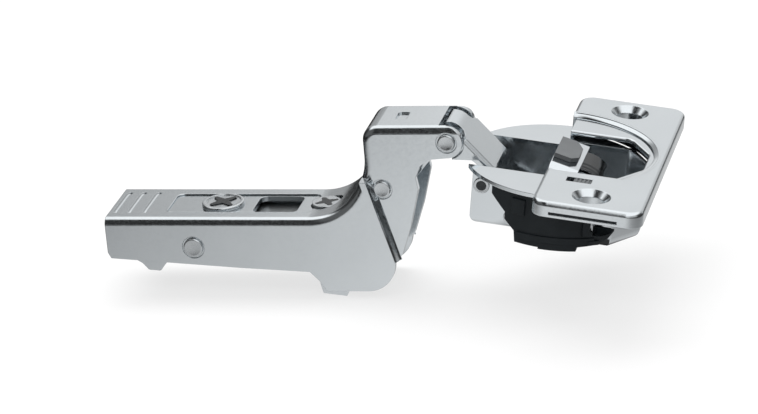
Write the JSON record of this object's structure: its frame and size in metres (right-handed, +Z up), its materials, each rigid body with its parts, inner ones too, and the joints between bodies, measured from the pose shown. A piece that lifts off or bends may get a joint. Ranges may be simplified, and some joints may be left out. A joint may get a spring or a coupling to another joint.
{
  "type": "cabinet hinge",
  "caption": "Concealed cabinet hinge: a cranked clip-on arm, two hidden links and a round damped cup with a screw flange, shown open; it swings a door shut on a four-bar linkage.",
  "frame": {"origin": "middle of the seat under the clip frame, where it rests on the mounting plate", "axes": "+X from the cabinet's plate towards the door, +Y across the hinge, +Z up off the seat"},
  "size_m": [0.1104, 0.0568, 0.0348],
  "materials": {
    "plated_sheet": "satin nickel plate",
    "bright_sheet": "bright nickel plate",
    "pin_steel": "turned steel",
    "spring_steel": "drawn wire",
    "black_plastic": "moulded",
    "grey_plastic": "moulded"
  },
  "bodies": {
    "clip_base": {"clip_frame": "plated_sheet", "lever_pin": "pin_steel", "lever_spring": "spring_steel"},
    "clip_lever": {"clip_lever": "plated_sheet"},
    "depth_carrier": {"rear_rivet": "pin_steel"},
    "side_screw": {"side_screw": "pin_steel"},
    "arm": {"hinge_arm": "plated_sheet", "inner_link_rivet": "pin_steel", "outer_link_rivet": "pin_steel", "near_closing_spring": "spring_steel", "far_closing_spring": "spring_steel"},
    "depth_screw": {"depth_screw": "pin_steel"},
    "inner_link": {"inner_link": "bright_sheet"},
    "outer_link": {"outer_link": "plated_sheet"},
    "cup": {"cup_shell": "bright_sheet", "flange_cap": "plated_sheet", "inner_link_pin": "pin_steel", "outer_link_pin": "pin_steel", "near_damper_housing": "black_plastic", "far_damper_housing": "black_plastic", "near_damper_cylinder": "pin_steel", "far_damper_cylinder": "pin_steel", "near_lever_stub": "pin_steel", "far_lever_stub": "pin_steel"},
    "damper_lever": {"damper_lever": "bright_sheet"},
    "damper_rods": {"near_damper_rod": "pin_steel", "far_damper_rod": "pin_steel"},
    "damper_switch": {"damper_switch": "grey_plastic"},
    "lock_slider": {"lock_slider": "grey_plastic"}
  },
  "joints": [
    {"name": "lever_turn", "type": "hinge", "parent": "clip_base", "child": "clip_lever", "pos_m": [-0.0196, 0, -0.00275], "axis": [0, 1, 0], "range_deg": [0, 10], "stiffness_Nm_per_rad": 0.05, "deforming": ["lever_spring"]},
    {"name": "depth_slide", "type": "slide", "parent": "clip_base", "child": "depth_carrier", "axis": [1, 0, 0], "range_m": [-0.0016, 0.0016]},
    {"name": "side_tilt", "type": "hinge", "parent": "depth_carrier", "child": "arm", "pos_m": [-0.0145, 0, -0.00269], "axis": [0, 1, 0], "range_deg": [-1.5, 1.5]},
    {"name": "side_screw_turn", "type": "hinge", "parent": "depth_carrier", "child": "side_screw", "pos_m": [0.011, 0, 0], "axis": [0, 0, 1], "range_deg": [-240.33, 240.33]},
    {"name": "depth_screw_turn", "type": "hinge", "parent": "arm", "child": "depth_screw", "pos_m": [-0.01, 0, 0], "axis": [0, 0, 1], "range_deg": [-60, 60]},
    {"name": "inner_link_turn", "type": "hinge", "parent": "arm", "child": "inner_link", "pos_m": [0.02395, 0, 0.00875], "axis": [0, 1, 0], "range_deg": [0, 49.47], "deforming": ["near_closing_spring", "far_closing_spring"]},
    {"name": "outer_link_turn", "type": "hinge", "parent": "arm", "child": "outer_link", "pos_m": [0.0374, 0, 0.0182], "axis": [0, 1, 0], "range_deg": [0, 19.05]},
    {"name": "cup_turn", "type": "hinge", "parent": "inner_link", "child": "cup", "pos_m": [0.0442, 0, 0.01055], "axis": [0, -1, 0], "range_deg": [0, 148.29]},
    {"name": "damper_rod_slide", "type": "slide", "parent": "cup", "child": "damper_rods", "axis": [0.9881, 0, -0.1535], "range_m": [0, 0.003]},
    {"name": "damper_lever_turn", "type": "hinge", "parent": "cup", "child": "damper_lever", "pos_m": [0.06134, 0, 0.00655], "axis": [0, 1, 0], "range_deg": [0, 140.01]},
    {"name": "switch_slide", "type": "slide", "parent": "damper_lever", "child": "damper_switch", "axis": [0, 1, 0], "range_m": [-0.0006, 0.0006]},
    {"name": "lock_slide", "type": "slide", "parent": "cup", "child": "lock_slider", "axis": [0.9881, 0, -0.1535], "range_m": [-0.0012, 0]}
  ],
  "couplings": [
    {"joint": "inner_link_turn", "follows": "cup_turn", "ratio": 0.33352},
    {"joint": "outer_link_turn", "follows": "cup_turn", "ratio": 0.1284},
    {"joint": "damper_lever_turn", "follows": "cup_turn", "ratio": 0.94412},
    {"joint": "damper_rod_slide", "follows": "cup_turn", "m_per_rad": 0.0011591},
    {"joint": "depth_screw_turn", "follows": "depth_slide", "rad_per_m": 654.43},
    {"joint": "side_screw_turn", "follows": "side_tilt", "ratio": -160.21}
  ]
}
